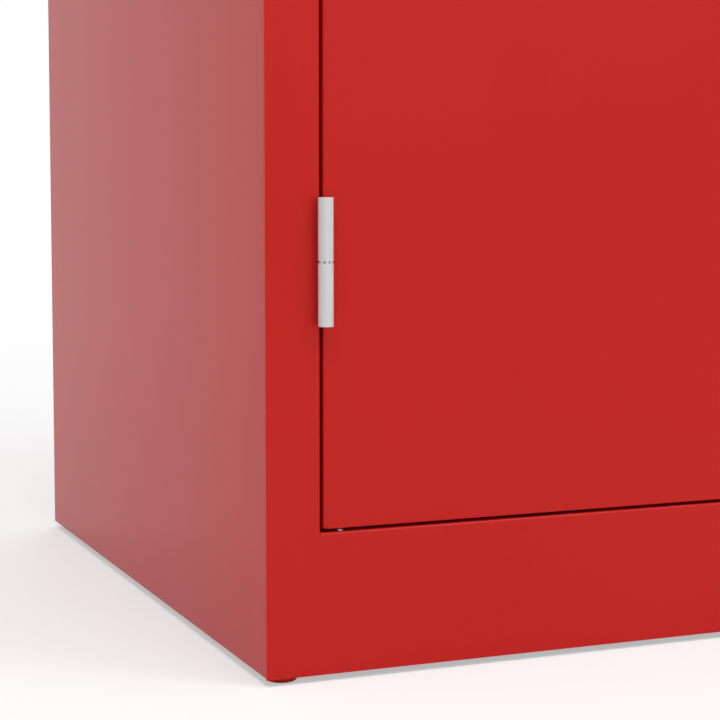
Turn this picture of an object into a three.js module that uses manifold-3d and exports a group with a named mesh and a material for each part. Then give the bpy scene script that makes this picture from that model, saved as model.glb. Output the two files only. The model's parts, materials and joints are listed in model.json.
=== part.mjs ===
// A steel side locker: a welded sheet carcass with one hinged door, a geared rod lock,
// two hung shelves and four levelling feet. Millimetres, +Z up, front towards -Y.
// The origin lies on the floor, in the middle of the overall footprint.
import * as THREE from "three";
import { mergeVertices } from "three/addons/utils/BufferGeometryUtils.js";
import Module from "manifold-3d";

const wasm = await Module();
wasm.setup();

// Overall size
const HEIGHT = 1000; // floor to top
const WIDTH = 500;
const DEPTH = 580; // front face to back face

// Sheet metal
const CARCASS_SHEET = 1;
const FRAME_SHEET = 1.2;
const DOOR_SHEET = 1;
const BRACKET_SHEET = 1.5;
const SEAM = 0.2; // left between pieces that are welded, riveted or laid together
const RUNNING = 0.2; // left round what turns or slides
const OVER = 1; // how far a cut reaches past the face it opens
const ARC_STEPS = 5; // facets in a quarter bend
const ROUND_SIDES = 32;

// Front frame
const STILE = 36;
const PLINTH = 90;
const TOP_RAIL = 35.2;
const FRAME_BEND = 2; // outside radius of the fold round the door opening
const FRAME_RETURN = 21; // how deep that fold turns in

// Carcass panels
const SIDE_FLANGE = 15;
const SIDE_LIFT = 1; // the sides and back stop this far above the plinth's lower edge
const TOP_FLANGE = 20;
const FLOOR_FLANGE = 25;
const STRIKE_LIP = 12; // how far the door stop stands into the opening
const STRIKE_LEG = 12;

// Levelling feet and the rails that carry them
const FOOT_PROJECTION = 4.3; // plinth to floor with the feet screwed in
const FOOT_DIAMETER = 20;
const FOOT_INSET = 15; // foot centre from the outer faces
const FOOT_EDGE = 1.6; // rounding of the pad's lower rim
const FOOT_STUD_DIAMETER = 8;
const FOOT_STUD_LENGTH = 38;
const RAIL_LIFT = 3.7; // rail's underside above the plinth's lower edge
const RAIL_SHEET = 2;
const RAIL_WIDTH = 32;
const RAIL_HEIGHT = 40;
const NUT_ACROSS_FLATS = 13;
const NUT_HEIGHT = 8;

// Shelving
const SHELF_COUNT = 2;
const SHELF_FRONT = 52; // front edge behind the front face
const SHELF_BACK = 12; // rear edge before the back face
const SHELF_SHEET = 1;
const SHELF_FLANGE = 25;
const SHELF_PLAY = 0.5; // between a shelf's side and its clips
const UPRIGHT_INSET = 75; // upright's centre line from the front and back faces
const UPRIGHT_WIDTH = 24;
const UPRIGHT_DEPTH = 10;
const UPRIGHT_SHEET = 1.2;
const UPRIGHT_END = 25; // upright's ends from the floor and the top
const SLOT_PITCH = 50;
const SLOT_WIDTH = 4;
const SLOT_HEIGHT = 10;
const CLIP_WIDTH = 14;
const CLIP_HEIGHT = 22;
const CLIP_LEDGE = 14;
const CLIP_HOOK = 3; // how far the clip's hook stands out behind the upright's web
const HOOK_SLACK = 4; // a slot's height over its hook's

// Door
const DOOR_GAP = 2;
const DOOR_THICKNESS = 18;
const DOOR_BEND = 1.2; // outside radius of the door's folded edges
const DOOR_LIP = 12;
const CORNER_RELIEF = 0.9; // width of the slit beside each folded corner
const SLIT_RISE = 0.3; // slit's end past the bend, in the door's face
const FOLD_SHORT = 0.5; // upright folds stop this far from the door's ends
const STIFFENER_WIDTH = 50;
const STIFFENER_HEIGHT = 13;
const STIFFENER_FLANGE = 14;
const STIFFENER_OFFSET = -40; // from the door's middle
const STIFFENER_END = 8; // from the door's lips
const BUFFER_DIAMETER = 8;
const BUFFER_FROM_END = 120; // from the door's upper and lower edges

// Lift-off hinges
const HINGE_LENGTH = 79.2;
const HINGE_DIAMETER = 9.5;
const HINGE_FROM_END = 166.7; // hinge's middle from the door's upper and lower edges
const HINGE_STANDOFF = 5.6; // axis before the front face
const HINGE_AXIS_OFFSET = 1.4; // axis from the stile's edge
const HINGE_SPLIT = 1.4; // between the two barrels
const HINGE_PIN_DIAMETER = 6;
const HINGE_PIN_RISE = 30; // pin above the split
const HINGE_CAP = 4; // closed end of each barrel
const LEAF_SHEET = 1;
const LEAF_DEPTH = 15; // leaf behind the front face
const WASHER_DIAMETER = 9.3;
const WASHER_NOTCHES = 8;
const WASHER_NOTCH_WIDTH = 1;
const WASHER_NOTCH_DEPTH = 1.1;
const WASHER_TURN = 0.3; // first notch, in notch pitches from the locker's right

// Lock and handle
const HANDLE_REACH = 36; // lock plug's face before the front face
const HANDLE_HEIGHT = 545; // spindle above the floor
const HANDLE_BACKSET = 52; // spindle from the door's free edge
const HANDLE_BOSS_DIAMETER = 36;
const HANDLE_ARM = 84; // spindle to the arm's tip
const HANDLE_ARM_ROOT = 26; // arm's width at the boss
const HANDLE_ARM_TIP = 18;
const HANDLE_ARM_THICKNESS = 11;
const PLUG_DIAMETER = 16;
const PLUG_PROUD = 1; // plug before the handle's face
const PLUG_DEPTH = 12;
const KEYWAY_WIDTH = 1.4;
const KEYWAY_HEIGHT = 9;
const KEYWAY_DEPTH = 4;
const ROSETTE_DIAMETER = 50;
const ROSETTE_THICKNESS = 5;
const ROSETTE_CHAMFER = 1.5;
const SPINDLE_SQUARE = 8;
const SPINDLE_GRIP = 14; // spindle inside the handle
const SPINDLE_STUD_DIAMETER = 6;
const SPINDLE_STUD_PROUD = 1; // stud's end past its nut
const SPINDLE_NUT_ACROSS_FLATS = 10;
const SPINDLE_NUT_HEIGHT = 5;
const CASE_WIDTH = 56;
const CASE_LENGTH = 96;
const CASE_FLANGE = 12;
const CASE_HEIGHT = 20.5; // case's back above the inside of the door's skin

// Rod drive
const GEAR_MODULE = 2;
const PINION_TEETH = 12;
const GEAR_ADDENDUM = 1.4;
const GEAR_DEDENDUM = 2;
const GEAR_BACKLASH = 0.6;
const PRESSURE_ANGLE = Math.PI / 9;
const FLANK_STEPS = 3;
const RACK_TEETH_AHEAD = 2; // rack teeth past the pinion's centre, against the rod's travel
const RACK_TEETH_BEHIND = 5;
const ROD_WIDTH = 12;
const ROD_THICKNESS = 5.6;
const ROD_BEHIND_RETURN = 2.2; // rods behind the frame's return
const ROD_SHORT = 3.5; // rod tips inside the opening when drawn in
const GUIDE_WIDTH = 22;
const GUIDE_LENGTH = 9;
const GUIDE_WALL = 2.5;
const GUIDE_INSET = 1; // guide's end from the door's edge
const FLOOR_SLOT_PLAY = 2; // round the lower rod in the floor
const TONGUE_SHEET = 3;
const TONGUE_WIDTH = 14;
const TONGUE_CRANK = 43; // spindle to the tongue's step
const TONGUE_BITE = 13; // how far the tongue passes the stile's edge
const TONGUE_CLEAR = 1.2; // tongue's tip behind the door stop
const TONGUE_FROM_PINION = 1.7;

// Rivets through the frame's sill
const RIVET_FROM_SIDE = 50.5;
const RIVET_SETBACK = 5; // behind the front face
const RIVET_HEAD_DIAMETER = 4.8;
const RIVET_HEAD_HEIGHT = 0.8;
const RIVET_SHANK_DIAMETER = 3.2;
const RIVET_TAIL = 3;

// Places that follow from the sizes
const RIGHT = WIDTH / 2;
const FRONT_Y = (HANDLE_REACH - DEPTH) / 2;
const BACK_Y = FRONT_Y + DEPTH;
const inward = (depth) => FRONT_Y + depth;
const middle = ([low, high]) => (low + high) / 2;
const around = (centre, size) => [centre - size / 2, centre + size / 2];
const mirrored = (side, low, high) => (side > 0 ? [low, high] : [-high, -low]);

const BASE_Z = FOOT_PROJECTION;
const SIDE_BOTTOM = BASE_Z + SIDE_LIFT;
const UNDER_TOP = HEIGHT - CARCASS_SHEET - SEAM;
const SIDE_FRONT = inward(FRAME_SHEET + SEAM);
const SIDE_BACK = BACK_Y - CARCASS_SHEET - SEAM;
const SIDE_INSIDE = RIGHT - CARCASS_SHEET - SEAM; // clear half width between the sides
const BEHIND_FLANGE = SIDE_FRONT + CARCASS_SHEET + SEAM;
const BEFORE_FLANGE = SIDE_BACK - CARCASS_SHEET - SEAM;

const OPENING = { x: [STILE - RIGHT, RIGHT - STILE], z: [BASE_Z + PLINTH, HEIGHT - TOP_RAIL] };
const DOOR = {
  x: [OPENING.x[0] + DOOR_GAP, OPENING.x[1] - DOOR_GAP],
  z: [OPENING.z[0] + DOOR_GAP, OPENING.z[1] - DOOR_GAP],
};
const FLOOR_Z = OPENING.z[0] - FRAME_SHEET - SEAM; // upper face of the floor panel
const RAIL_Z = BASE_Z + RAIL_LIFT;

const HINGE_AXIS = { x: OPENING.x[0] + HINGE_AXIS_OFFSET, y: inward(-HINGE_STANDOFF) };
const SPINDLE = { x: DOOR.x[1] - HANDLE_BACKSET, z: HANDLE_HEIGHT };
const PITCH_RADIUS = (GEAR_MODULE * PINION_TEETH) / 2;
const ROD_FRONT = inward(FRAME_RETURN + ROD_BEHIND_RETURN);
const ROD_LAYER = [ROD_FRONT, ROD_FRONT + ROD_THICKNESS];
const ROD_OFFSET = PITCH_RADIUS + GEAR_DEDENDUM + ROD_WIDTH / 2; // rod's centre line from the spindle
const STRIKE_LAYER = [inward(FRAME_RETURN + SEAM), inward(FRAME_RETURN + SEAM + FRAME_SHEET)];
const HANDLE_FACE = inward(PLUG_PROUD - HANDLE_REACH);
const HANDLE_BACK = inward(-ROSETTE_THICKNESS - SEAM - RUNNING);

const X = new THREE.Vector3(1, 0, 0);
const Y = new THREE.Vector3(0, 1, 0);
const Z = new THREE.Vector3(0, 0, 1);
const flip = (axis) => axis.clone().negate();

// Materials
function finish(color, roughness, metalness) {
  return new THREE.MeshStandardMaterial({ color, roughness, metalness });
}
const RED_PAINT = finish(0xbb2720, 0.38, 0);
const PALE_GREY = finish(0xcdcdcd, 0.45, 0.2);
const ZINC = finish(0xb4b7ba, 0.4, 0.9);
const GALVANISED = finish(0xaab0b3, 0.5, 0.8);
const SATIN_NICKEL = finish(0xbdbcb8, 0.35, 0.9);
const BLACK_RUBBER = finish(0x1b1b1b, 0.9, 0);

// Geometry helpers
// A closed geometry as a solid that can be joined and cut.
function solidOf(geometry) {
  const bare = geometry.clone();
  bare.deleteAttribute("normal");
  bare.deleteAttribute("uv");
  const merged = mergeVertices(bare);
  return new wasm.Manifold(
    new wasm.Mesh({
      numProp: 3,
      vertProperties: new Float32Array(merged.attributes.position.array),
      triVerts: new Uint32Array(merged.index.array),
    }),
  );
}

// A box between two limits on each axis, with its corners exactly on them.
function slab(x, y, z) {
  const box = new THREE.BoxGeometry();
  const corners = box.attributes.position;
  const pick = (limits, value) => limits[value < 0 ? 0 : 1];
  for (let index = 0; index < corners.count; index++) {
    const [a, b, c] = [corners.getX(index), corners.getY(index), corners.getZ(index)];
    corners.setXYZ(index, pick(x, a), pick(y, b), pick(z, c));
  }
  return solidOf(box);
}

// A cylinder along y or z between two limits.
function drum(radius, [low, high], axis, [a, b], sides = ROUND_SIDES) {
  const cylinder = new THREE.CylinderGeometry(radius, radius, high - low, sides);
  if (axis === Z) {
    cylinder.rotateX(Math.PI / 2);
    cylinder.translate(a, b, (low + high) / 2);
  } else {
    cylinder.translate(a, (low + high) / 2, b);
  }
  return solidOf(cylinder);
}

// A hexagon nut blank along y or z.
function hexagon(acrossFlats, limits, axis, place) {
  return drum(acrossFlats / Math.sqrt(3), limits, axis, place, 6);
}

// A turned piece: radius and height pairs round an upright axis through (x, y).
function turned(profile, x, y) {
  const lathe = new THREE.LatheGeometry(
    profile.map(([radius, height]) => new THREE.Vector2(radius, height)),
    ROUND_SIDES,
  );
  lathe.rotateX(Math.PI / 2);
  lathe.translate(x, y, 0);
  return solidOf(lathe);
}

// An outline in the plane of u and v, drawn out along u x v from the origin.
function drawnOut(shape, length, origin, u, v) {
  const options = { depth: length, bevelEnabled: false, curveSegments: ARC_STEPS };
  const prism = new THREE.ExtrudeGeometry(shape, options);
  const w = new THREE.Vector3().crossVectors(u, v);
  prism.applyMatrix4(new THREE.Matrix4().makeBasis(u, v, w).setPosition(...origin));
  return solidOf(prism);
}

function polygon(points) {
  return new THREE.Shape(points.map(([a, b]) => new THREE.Vector2(a, b)));
}

// The first solid joined with all the others.
function joined(first, ...others) {
  return others.reduce((sum, other) => sum.add(other), first);
}

// A solid with all the others cut out of it.
function cutOut(solid, ...others) {
  return others.reduce((rest, other) => rest.subtract(other), solid);
}

function geometryOf(solid) {
  const mesh = solid.getMesh();
  const geometry = new THREE.BufferGeometry();
  geometry.setAttribute("position", new THREE.BufferAttribute(new Float32Array(mesh.vertProperties), 3));
  geometry.setIndex(new THREE.BufferAttribute(new Uint32Array(mesh.triVerts), 1));
  geometry.computeVertexNormals();
  return geometry;
}

const locker = new THREE.Group();

function piece(name, solid, material) {
  const mesh = new THREE.Mesh(geometryOf(solid), material);
  mesh.name = name;
  locker.add(mesh);
}

// Section of a folded sheet edge: u runs from the fold into the panel, v into the locker.
// A lip, where there is one, turns back under the panel.
function foldSection(sheet, bend, depth, lip) {
  const overlap = sheet; // laid over the panel that the fold belongs to
  const section = new THREE.Shape();
  section.moveTo(bend + overlap, 0);
  section.lineTo(bend, 0);
  section.absarc(bend, bend, bend, -Math.PI / 2, -Math.PI, true);
  section.lineTo(0, depth);
  if (lip) {
    section.lineTo(lip, depth);
    section.lineTo(lip, depth - sheet);
  }
  section.lineTo(sheet, lip ? depth - sheet : depth);
  section.lineTo(sheet, bend);
  section.absarc(bend, bend, bend - sheet, Math.PI, Math.PI * 1.5, false);
  section.lineTo(bend + overlap, sheet);
  section.closePath();
  return section;
}

// Section of a top-hat stiffener lying on a panel: u across it, v away from the panel.
function hatSection(sheet, width, height, flange) {
  const half = width / 2;
  return polygon([
    [-half - flange, 0],
    [-half, 0],
    [-half, height - sheet],
    [half, height - sheet],
    [half, 0],
    [half + flange, 0],
    [half + flange, sheet],
    [half + sheet, sheet],
    [half + sheet, height],
    [-half - sheet, height],
    [-half - sheet, sheet],
    [-half - flange, sheet],
  ].reverse());
}

// Front frame: one sheet with the door opening cut out and its four edges folded in
const RIVET_X = RIGHT - RIVET_FROM_SIDE;
const RIVET_Y = inward(RIVET_SETBACK);

function rivetHoles(limits) {
  const radius = RIVET_SHANK_DIAMETER / 2 + RUNNING;
  return [-1, 1].map((side) => drum(radius, limits, Z, [side * RIVET_X, RIVET_Y]));
}

function frontFrame() {
  const sheet = [FRONT_Y, inward(FRAME_SHEET)];
  const [x0, x1] = OPENING.x;
  const [z0, z1] = OPENING.z;
  const through = [FRONT_Y - OVER, inward(FRAME_SHEET + OVER)];
  const wide = slab([x0 - FRAME_BEND, x1 + FRAME_BEND], through, [z0, z1]);
  const tall = slab([x0, x1], through, [z0 - FRAME_BEND, z1 + FRAME_BEND]);
  const plate = slab([-RIGHT, RIGHT], sheet, [BASE_Z, HEIGHT]).subtract(wide).subtract(tall);

  const section = foldSection(FRAME_SHEET, FRAME_BEND, FRAME_RETURN);
  const width = x1 - x0;
  const height = z1 - z0 + 2 * FRAME_SHEET; // the upright folds close the corners
  const folds = [
    drawnOut(section, width, [x0, FRONT_Y, z0], flip(Z), Y),
    drawnOut(section, width, [x1, FRONT_Y, z1], Z, Y),
    drawnOut(section, height, [x0, FRONT_Y, z1 + FRAME_SHEET], flip(X), Y),
    drawnOut(section, height, [x1, FRONT_Y, z0 - FRAME_SHEET], X, Y),
  ];
  return cutOut(joined(plate, ...folds), ...rivetHoles([z0 - FRAME_SHEET - SEAM, z0 + SEAM]));
}
piece("front_frame", frontFrame(), RED_PAINT);

// Sides: a flat web with a narrow flange folded in at the front and the back
function sidePanel(side) {
  const [flange, web] = [RIGHT - SIDE_FLANGE, RIGHT - CARCASS_SHEET];
  const hollow = mirrored(side, flange - OVER, web);
  const hollowZ = [SIDE_BOTTOM - OVER, HEIGHT + OVER];
  return cutOut(
    slab(mirrored(side, flange, RIGHT), [SIDE_FRONT, SIDE_BACK], [SIDE_BOTTOM, HEIGHT]),
    slab(hollow, [SIDE_FRONT + CARCASS_SHEET, SIDE_BACK - CARCASS_SHEET], hollowZ),
    slab(hollow, [SIDE_FRONT - OVER, SIDE_BACK + OVER], [UNDER_TOP, HEIGHT + OVER]),
  );
}
piece("left_side_panel", sidePanel(-1), RED_PAINT);
piece("right_side_panel", sidePanel(1), RED_PAINT);

piece(
  "back_panel",
  slab([-RIGHT, RIGHT], [BACK_Y - CARCASS_SHEET, BACK_Y], [SIDE_BOTTOM, HEIGHT]),
  RED_PAINT,
);

// Top: a shallow tray turned over, lying between the sides, open at its corners
function topPanel() {
  const under = [HEIGHT - TOP_FLANGE - OVER, HEIGHT - CARCASS_SHEET];
  const half = SIDE_INSIDE - CARCASS_SHEET;
  const corner = [RIGHT - SIDE_FLANGE - SEAM, SIDE_INSIDE + OVER];
  const frontCorner = [SIDE_FRONT - OVER, BEHIND_FLANGE + SEAM];
  const rearCorner = [BEFORE_FLANGE - SEAM, SIDE_BACK + OVER];
  return cutOut(
    slab([-SIDE_INSIDE, SIDE_INSIDE], [SIDE_FRONT, SIDE_BACK], [HEIGHT - TOP_FLANGE, HEIGHT]),
    slab([-half, half], [SIDE_FRONT + CARCASS_SHEET, SIDE_BACK - CARCASS_SHEET], under),
    slab(mirrored(-1, ...corner), frontCorner, under),
    slab(mirrored(1, ...corner), frontCorner, under),
    slab(mirrored(-1, ...corner), rearCorner, under),
    slab(mirrored(1, ...corner), rearCorner, under),
  );
}
piece("top_panel", topPanel(), RED_PAINT);

// Floor: a tray turned over under the frame's sill, with a slot for the lower rod's tip
function floorPanel() {
  const half = SIDE_INSIDE - CARCASS_SHEET;
  const underside = FLOOR_Z - CARCASS_SHEET;
  const hollowY = [BEHIND_FLANGE - OVER, BEFORE_FLANGE - CARCASS_SHEET];
  const slot = slab(
    around(SPINDLE.x - ROD_OFFSET, ROD_WIDTH + 2 * FLOOR_SLOT_PLAY),
    [ROD_LAYER[0] - FLOOR_SLOT_PLAY, ROD_LAYER[1] + FLOOR_SLOT_PLAY],
    [underside - OVER, FLOOR_Z + OVER],
  );
  return cutOut(
    slab([-SIDE_INSIDE, SIDE_INSIDE], [BEHIND_FLANGE, BEFORE_FLANGE], [FLOOR_Z - FLOOR_FLANGE, FLOOR_Z]),
    slab([-half, half], hollowY, [FLOOR_Z - FLOOR_FLANGE - OVER, underside]),
    slot,
    ...rivetHoles([underside - OVER, FLOOR_Z + OVER]),
  );
}
piece("floor_panel", floorPanel(), RED_PAINT);

// Blind rivets: a low dome on the sill, a shank through both sheets and a swollen tail
function rivet(side) {
  const sill = OPENING.z[0];
  const head = RIVET_HEAD_DIAMETER / 2;
  const shank = RIVET_SHANK_DIAMETER / 2;
  const tail = FLOOR_Z - CARCASS_SHEET - SEAM;
  const profile = [
    [0, tail - RIVET_TAIL],
    [shank, tail - RIVET_TAIL],
    [head * 0.85, tail - RIVET_TAIL / 2],
    [shank, tail],
    [shank, sill + SEAM],
    [head, sill + SEAM],
    [head * 0.8, sill + SEAM + RIVET_HEAD_HEIGHT * 0.7],
    [head * 0.4, sill + SEAM + RIVET_HEAD_HEIGHT],
    [0, sill + SEAM + RIVET_HEAD_HEIGHT],
  ];
  return turned(profile, side * RIVET_X, RIVET_Y);
}
piece("sill_rivet_left", rivet(-1), ZINC);
piece("sill_rivet_right", rivet(1), ZINC);

// Door stop: an angle behind the right stile, with two rubber buffers
const STRIKE_X = [OPENING.x[1] - STRIKE_LIP, OPENING.x[1] + FRAME_SHEET + SEAM + FRAME_SHEET];

function strikeStrip() {
  const leg = OPENING.x[1] + FRAME_SHEET + SEAM;
  const height = [DOOR.z[0] + DOOR_LIP, DOOR.z[1] - DOOR_LIP];
  const front = STRIKE_LAYER[1] - STRIKE_LEG;
  return cutOut(
    slab(STRIKE_X, [front, STRIKE_LAYER[1]], height),
    slab([STRIKE_X[0] - OVER, leg], [front - OVER, STRIKE_LAYER[0]], [height[0] - OVER, height[1] + OVER]),
  );
}
piece("strike_strip", strikeStrip(), RED_PAINT);

function doorBuffer(z) {
  const x = (DOOR.x[1] + STRIKE_X[0]) / 2;
  const limits = [inward(DOOR_THICKNESS + SEAM), STRIKE_LAYER[0] - SEAM];
  return drum(BUFFER_DIAMETER / 2, limits, Y, [x, z]);
}
piece("door_buffer_lower", doorBuffer(DOOR.z[0] + BUFFER_FROM_END), BLACK_RUBBER);
piece("door_buffer_upper", doorBuffer(DOOR.z[1] - BUFFER_FROM_END), BLACK_RUBBER);

// Base rails: channels along both sides, under the floor, with the foot nuts on them
const FOOT_X = RIGHT - FOOT_INSET;
const FOOT_CORNERS = [
  ["front_left", -FOOT_X, inward(FOOT_INSET)],
  ["front_right", FOOT_X, inward(FOOT_INSET)],
  ["rear_left", -FOOT_X, BACK_Y - FOOT_INSET],
  ["rear_right", FOOT_X, BACK_Y - FOOT_INSET],
];
const STUD_HOLE = FOOT_STUD_DIAMETER / 2 + RUNNING;

function baseRail(side) {
  const [outer, inner] = [SIDE_INSIDE, SIDE_INSIDE - RAIL_WIDTH];
  const bottom = [RAIL_Z - OVER, RAIL_Z + RAIL_SHEET + OVER];
  const corners = FOOT_CORNERS.filter(([, x]) => x * side > 0);
  return cutOut(
    slab(mirrored(side, inner, outer), [BEHIND_FLANGE, BEFORE_FLANGE], [RAIL_Z, RAIL_Z + RAIL_HEIGHT]),
    slab(
      mirrored(side, inner + RAIL_SHEET, outer - RAIL_SHEET),
      [BEHIND_FLANGE - OVER, BEFORE_FLANGE + OVER],
      [RAIL_Z + RAIL_SHEET, RAIL_Z + RAIL_HEIGHT + OVER],
    ),
    ...corners.map(([, x, y]) => drum(STUD_HOLE, bottom, Z, [x, y])),
  );
}
piece("base_rail_left", baseRail(-1), RED_PAINT);
piece("base_rail_right", baseRail(1), RED_PAINT);

// Levelling feet: a round pad on a threaded stud, screwed home at rest
function footNut(x, y) {
  const low = RAIL_Z + RAIL_SHEET + SEAM;
  const bore = drum(STUD_HOLE, [low - OVER, low + NUT_HEIGHT + OVER], Z, [x, y]);
  return hexagon(NUT_ACROSS_FLATS, [low, low + NUT_HEIGHT], Z, [x, y]).subtract(bore);
}

function levellingFoot(x, y) {
  const pad = FOOT_DIAMETER / 2;
  const padTop = RAIL_Z - SEAM;
  const stud = FOOT_STUD_DIAMETER / 2;
  const rim = Array.from({ length: ARC_STEPS + 1 }, (_, step) => {
    const angle = ((step / ARC_STEPS) * Math.PI) / 2;
    return [pad - FOOT_EDGE + FOOT_EDGE * Math.sin(angle), FOOT_EDGE - FOOT_EDGE * Math.cos(angle)];
  });
  const studTop = [
    [stud, padTop],
    [stud, padTop + FOOT_STUD_LENGTH],
    [0, padTop + FOOT_STUD_LENGTH],
  ];
  return turned([[0, 0], ...rim, [pad, padTop], ...studTop], x, y);
}
for (const [corner, x, y] of FOOT_CORNERS) {
  piece(`foot_nut_${corner}`, footNut(x, y), ZINC);
  piece(`levelling_foot_${corner}`, levellingFoot(x, y), RED_PAINT);
}

// Shelf uprights: slotted channels on the side panels
const UPRIGHT_Z = [FLOOR_Z + UPRIGHT_END, HEIGHT - TOP_FLANGE - UPRIGHT_END];
const UPRIGHT_FACE = SIDE_INSIDE - UPRIGHT_DEPTH; // inner face of the channel's web
const SLOT_COUNT = Math.floor((UPRIGHT_Z[1] - UPRIGHT_Z[0] - SLOT_HEIGHT) / SLOT_PITCH);
const slotZ = (index) => UPRIGHT_Z[0] + SLOT_PITCH * (index + 0.5); // middle of a slot
const UPRIGHT_PLACES = [
  ["front", inward(UPRIGHT_INSET)],
  ["rear", BACK_Y - UPRIGHT_INSET],
];

function upright(side, y) {
  const through = mirrored(side, UPRIGHT_FACE - OVER, UPRIGHT_FACE + UPRIGHT_SHEET + OVER);
  const slots = Array.from({ length: SLOT_COUNT }, (_, index) =>
    slab(through, around(y, SLOT_WIDTH), around(slotZ(index), SLOT_HEIGHT)),
  );
  return cutOut(
    slab(mirrored(side, UPRIGHT_FACE, SIDE_INSIDE), around(y, UPRIGHT_WIDTH), UPRIGHT_Z),
    slab(
      mirrored(side, UPRIGHT_FACE + UPRIGHT_SHEET, SIDE_INSIDE + OVER),
      around(y, UPRIGHT_WIDTH - 2 * UPRIGHT_SHEET),
      [UPRIGHT_Z[0] - OVER, UPRIGHT_Z[1] + OVER],
    ),
    ...slots,
  );
}

// Shelf clips: a plate on the upright, a hook through its slot and a ledge for the shelf
const CLIP_FACE = UPRIGHT_FACE - SEAM - BRACKET_SHEET;
const HOOK_HEIGHT = SLOT_HEIGHT - HOOK_SLACK;
const HOOK_WIDTH = SLOT_WIDTH - 2 * RUNNING;

function shelfClip(side, y, slot) {
  const low = slotZ(slot) - HOOK_HEIGHT;
  const plate = mirrored(side, CLIP_FACE, CLIP_FACE + BRACKET_SHEET);
  const hook = mirrored(side, CLIP_FACE, UPRIGHT_FACE + UPRIGHT_SHEET + CLIP_HOOK);
  const ledge = mirrored(side, CLIP_FACE - CLIP_LEDGE, CLIP_FACE + BRACKET_SHEET);
  return joined(
    slab(plate, around(y, CLIP_WIDTH), [low, low + CLIP_HEIGHT]),
    slab(hook, around(y, HOOK_WIDTH), around(slotZ(slot), HOOK_HEIGHT)),
    slab(ledge, around(y, CLIP_WIDTH), [low, low + BRACKET_SHEET]),
  );
}

// Shelves: trays with their edges folded down, standing on four clips each
function shelf(slot) {
  const low = slotZ(slot) - HOOK_HEIGHT + BRACKET_SHEET + SEAM;
  const top = low + SHELF_FLANGE;
  const half = CLIP_FACE - SHELF_PLAY;
  const [front, back] = [inward(SHELF_FRONT), BACK_Y - SHELF_BACK];
  return cutOut(
    slab([-half, half], [front, back], [low, top]),
    slab(
      [SHELF_SHEET - half, half - SHELF_SHEET],
      [front + SHELF_SHEET, back - SHELF_SHEET],
      [low - OVER, top - SHELF_SHEET],
    ),
  );
}

const SIDES = [
  ["left", -1],
  ["right", 1],
];
for (const [sideName, side] of SIDES) {
  for (const [placeName, y] of UPRIGHT_PLACES) {
    piece(`shelf_upright_${placeName}_${sideName}`, upright(side, y), RED_PAINT);
  }
}
const SHELF_NAMES = ["lower", "upper"];
for (let index = 0; index < SHELF_COUNT; index++) {
  const slot = Math.round((SLOT_COUNT * (index + 1)) / (SHELF_COUNT + 1)) - 1;
  const shelfName = SHELF_NAMES[index] ?? `extra_${index}`;
  piece(`shelf_${shelfName}`, shelf(slot), GALVANISED);
  for (const [sideName, side] of SIDES) {
    for (const [placeName, y] of UPRIGHT_PLACES) {
      piece(`shelf_clip_${shelfName}_${placeName}_${sideName}`, shelfClip(side, y, slot), ZINC);
    }
  }
}

// Lift-off hinges: the lower barrel and its pin stay on the frame, the upper barrel lifts off
const LEAF_START = HINGE_AXIS.y + (HINGE_DIAMETER + HINGE_PIN_DIAMETER) / 4 + RUNNING; // in the barrel's wall
const BORE = HINGE_PIN_DIAMETER / 2 + RUNNING;

function hingeHalf(barrelZ, boreZ, leafX) {
  const place = [HINGE_AXIS.x, HINGE_AXIS.y];
  const barrel = drum(HINGE_DIAMETER / 2, barrelZ, Z, place);
  const leaf = slab(leafX, [LEAF_START, inward(LEAF_DEPTH)], barrelZ);
  return barrel.add(leaf).subtract(drum(BORE, boreZ, Z, place));
}

function hinge(name, z) {
  const half = HINGE_LENGTH / 2;
  const lower = [z - half, z - HINGE_SPLIT / 2];
  const upper = [z + HINGE_SPLIT / 2, z + half];
  const frameLeaf = [OPENING.x[0] + SEAM, OPENING.x[0] + SEAM + LEAF_SHEET];
  const doorLeaf = [DOOR.x[0] - SEAM - LEAF_SHEET, DOOR.x[0] - SEAM];
  const pinBottom = lower[0] + HINGE_CAP;
  const pinTop = upper[0] + HINGE_PIN_RISE;
  piece(`hinge_frame_leaf_${name}`, hingeHalf(lower, [pinBottom, lower[1] + OVER], frameLeaf), PALE_GREY);
  piece(`hinge_door_leaf_${name}`, hingeHalf(upper, [upper[0] - OVER, pinTop + SEAM], doorLeaf), PALE_GREY);
  const place = [HINGE_AXIS.x, HINGE_AXIS.y];
  piece(`hinge_pin_${name}`, drum(HINGE_PIN_DIAMETER / 2, [pinBottom + SEAM, pinTop], Z, place), ZINC);
  piece(`hinge_washer_${name}`, hingeWasher(z), PALE_GREY);
}

// A notched ring in the split between the barrels
function hingeWasher(z) {
  const limits = around(z, HINGE_SPLIT - 2 * SEAM);
  const place = [HINGE_AXIS.x, HINGE_AXIS.y];
  const bore = drum(BORE, [limits[0] - OVER, limits[1] + OVER], Z, place);
  const ring = drum(WASHER_DIAMETER / 2, limits, Z, place).subtract(bore);
  const cuts = Array.from({ length: WASHER_NOTCHES }, (_, index) => {
    const notch = new THREE.BoxGeometry(2 * WASHER_NOTCH_DEPTH, WASHER_NOTCH_WIDTH, HINGE_SPLIT);
    notch.translate(WASHER_DIAMETER / 2, 0, 0);
    notch.rotateZ(((index + WASHER_TURN) / WASHER_NOTCHES) * 2 * Math.PI);
    notch.translate(HINGE_AXIS.x, HINGE_AXIS.y, z);
    return solidOf(notch);
  });
  return cutOut(ring, ...cuts);
}
hinge("lower", DOOR.z[0] + HINGE_FROM_END);
hinge("upper", DOOR.z[1] - HINGE_FROM_END);

// Door: a pan with folded edges and lips, slit beside its corners
const SPINDLE_HOLE = SPINDLE_SQUARE / Math.SQRT2 + RUNNING; // a round hole that the square turns in

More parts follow.
